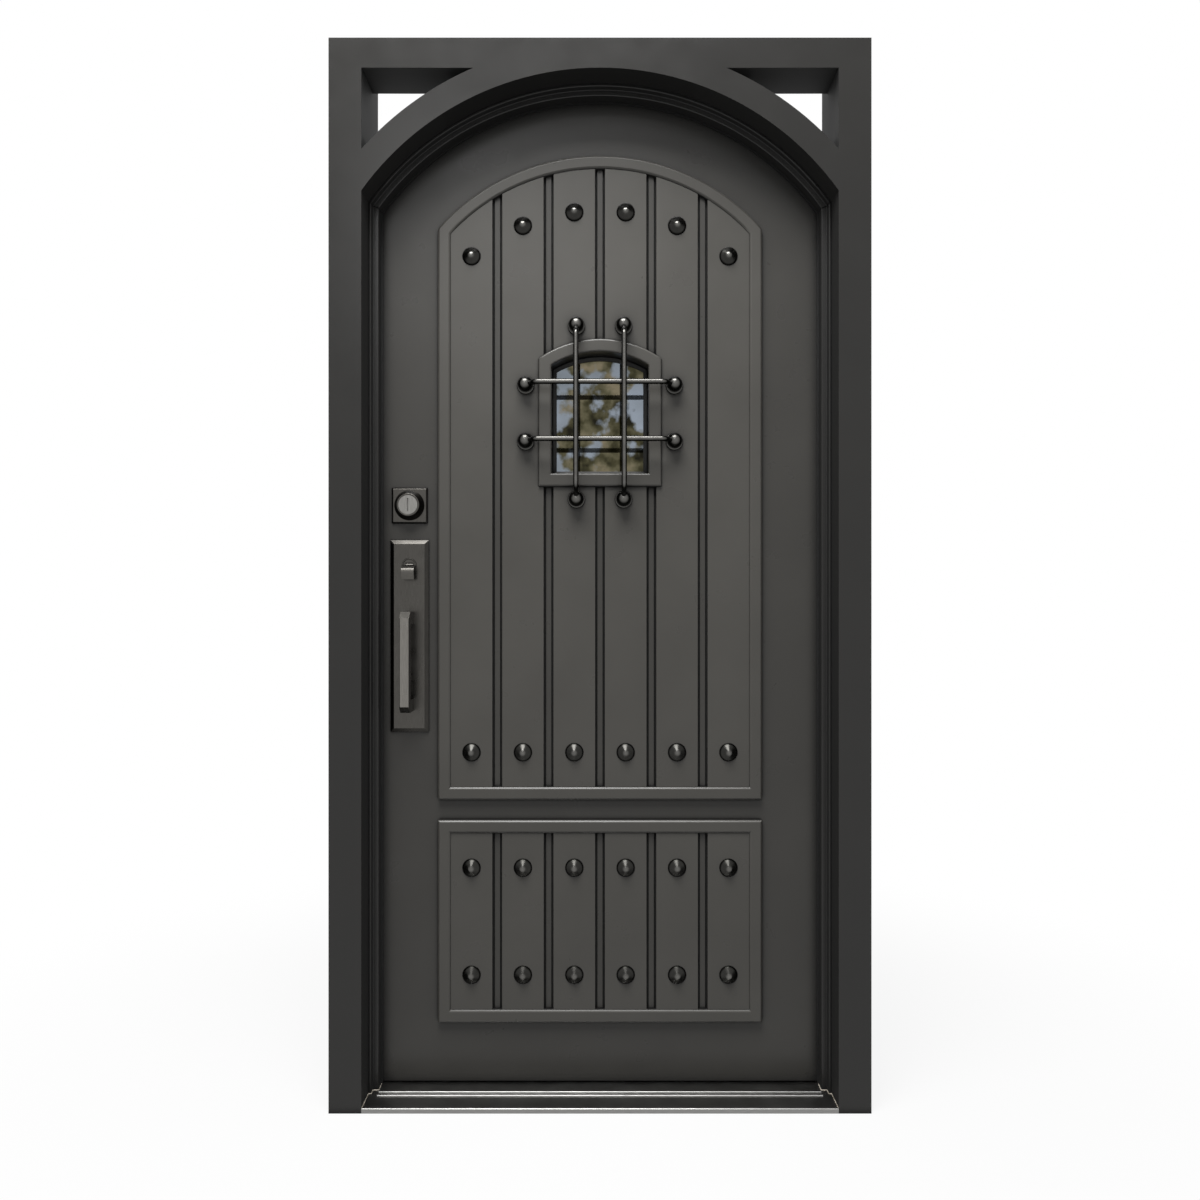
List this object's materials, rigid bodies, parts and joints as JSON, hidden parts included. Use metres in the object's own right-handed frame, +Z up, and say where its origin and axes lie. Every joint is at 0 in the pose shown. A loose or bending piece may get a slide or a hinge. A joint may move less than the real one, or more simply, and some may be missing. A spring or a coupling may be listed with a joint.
{
  "type": "iron front door with frame",
  "caption": "Arched iron entry door in a tube frame with open corners: planked leaf with nail heads, grilled speakeasy window, thumb-latch handle and deadbolt, opening inwards.",
  "frame": {"origin": "middle of the sill's underside, half way through the frame's depth", "axes": "+X to the right seen from outside, +Y inwards, +Z up"},
  "size_m": [1.086, 0.1984, 2.152],
  "materials": {
    "frame_paint": "satin",
    "leaf_paint": "satin",
    "sash_paint": "satin",
    "dark_iron": "polished",
    "hardware": "dark satin",
    "plug_face": "brushed",
    "bolt_steel": "satin",
    "sill_metal": "dark anodised",
    "washer_brass": "plain",
    "rubber": "matte",
    "foam": "foam",
    "glass": "clear"
  },
  "bodies": {
    "frame": {"left_jamb": "frame_paint", "right_jamb": "frame_paint", "head": "frame_paint", "arch": "frame_paint", "left_stop": "frame_paint", "right_stop": "frame_paint", "arch_stop": "frame_paint", "left_gasket": "rubber", "right_gasket": "rubber", "arch_gasket": "rubber", "sill": "sill_metal", "latch_strike": "bolt_steel", "deadbolt_strike": "bolt_steel", "hinge_frame_barrels": "frame_paint", "hinge_washers": "washer_brass"},
    "leaf": {"leaf_frame": "leaf_paint", "outer_skin": "leaf_paint", "inner_skin": "leaf_paint", "foam_core": "foam", "bottom_sweep": "rubber", "upper_moulding": "leaf_paint", "lower_moulding": "leaf_paint", "clavos": "dark_iron", "window_trim": "leaf_paint", "window_lining": "leaf_paint", "grille_balls": "dark_iron", "grille_rails": "dark_iron", "grille_uprights": "dark_iron", "hinge_leaf_barrels": "leaf_paint", "sash_knuckles": "leaf_paint", "latch_case": "bolt_steel", "deadbolt_case": "bolt_steel", "deadbolt_plate": "hardware", "deadbolt_collar": "hardware", "turn_rose": "hardware", "handle_plate": "hardware", "thumb_pin": "hardware", "grip": "hardware", "lever_rose": "hardware", "upper_plank_1": "leaf_paint", "upper_plank_2": "leaf_paint", "upper_plank_3": "leaf_paint", "upper_plank_4": "leaf_paint", "upper_plank_5": "leaf_paint", "upper_plank_6": "leaf_paint", "lower_plank_1": "leaf_paint", "lower_plank_2": "leaf_paint", "lower_plank_3": "leaf_paint", "lower_plank_4": "leaf_paint", "lower_plank_5": "leaf_paint", "lower_plank_6": "leaf_paint"},
    "thumb": {"thumb_piece": "hardware"},
    "latch": {"latch_bolt": "bolt_steel"},
    "deadbolt": {"deadbolt_bolt": "bolt_steel"},
    "turn": {"thumbturn": "hardware"},
    "key": {"key_plug": "plug_face"},
    "lever": {"inside_lever": "hardware"},
    "sash": {"sash_frame": "sash_paint", "sash_glass": "glass", "sash_bead": "sash_paint"}
  },
  "joints": [
    {"name": "door_swing", "type": "hinge", "parent": "frame", "child": "leaf", "pos_m": [0.4755, 0.0876, 1], "axis": [0, 0, -1], "range_deg": [0, 105]},
    {"name": "thumb_press", "type": "hinge", "parent": "leaf", "child": "thumb", "pos_m": [-0.4005, 0.0278, 1.1], "axis": [-1, 0, 0], "range_deg": [0, 15]},
    {"name": "latch_slide", "type": "slide", "parent": "leaf", "child": "latch", "axis": [-1, 0, 0], "range_m": [0, 0.0127]},
    {"name": "turn_spin", "type": "hinge", "parent": "leaf", "child": "turn", "pos_m": [-0.4005, 0.1, 1.226], "axis": [0, 1, 0], "range_deg": [0, 90]},
    {"name": "deadbolt_slide", "type": "slide", "parent": "leaf", "child": "deadbolt", "axis": [-1, 0, 0], "range_m": [0, 0.0254]},
    {"name": "key_turn", "type": "hinge", "parent": "leaf", "child": "key", "pos_m": [-0.4005, 0.02, 1.226], "axis": [0, 1, 0], "range_deg": [0, 90]},
    {"name": "lever_press", "type": "hinge", "parent": "leaf", "child": "lever", "pos_m": [-0.4005, 0.1, 1.085], "axis": [0, 1, 0], "range_deg": [0, 40], "stiffness_Nm_per_rad": 1, "springref_deg": -34.38},
    {"name": "sash_swing", "type": "hinge", "parent": "leaf", "child": "sash", "pos_m": [0.1193, 0.0816, 1.42], "axis": [0, 0, -1], "range_deg": [0, 110]}
  ],
  "couplings": [
    {"joint": "latch_slide", "follows": "thumb_press", "m_per_rad": 0.0485},
    {"joint": "deadbolt_slide", "follows": "turn_spin", "m_per_rad": 0.01617},
    {"joint": "key_turn", "follows": "turn_spin", "ratio": 1}
  ]
}
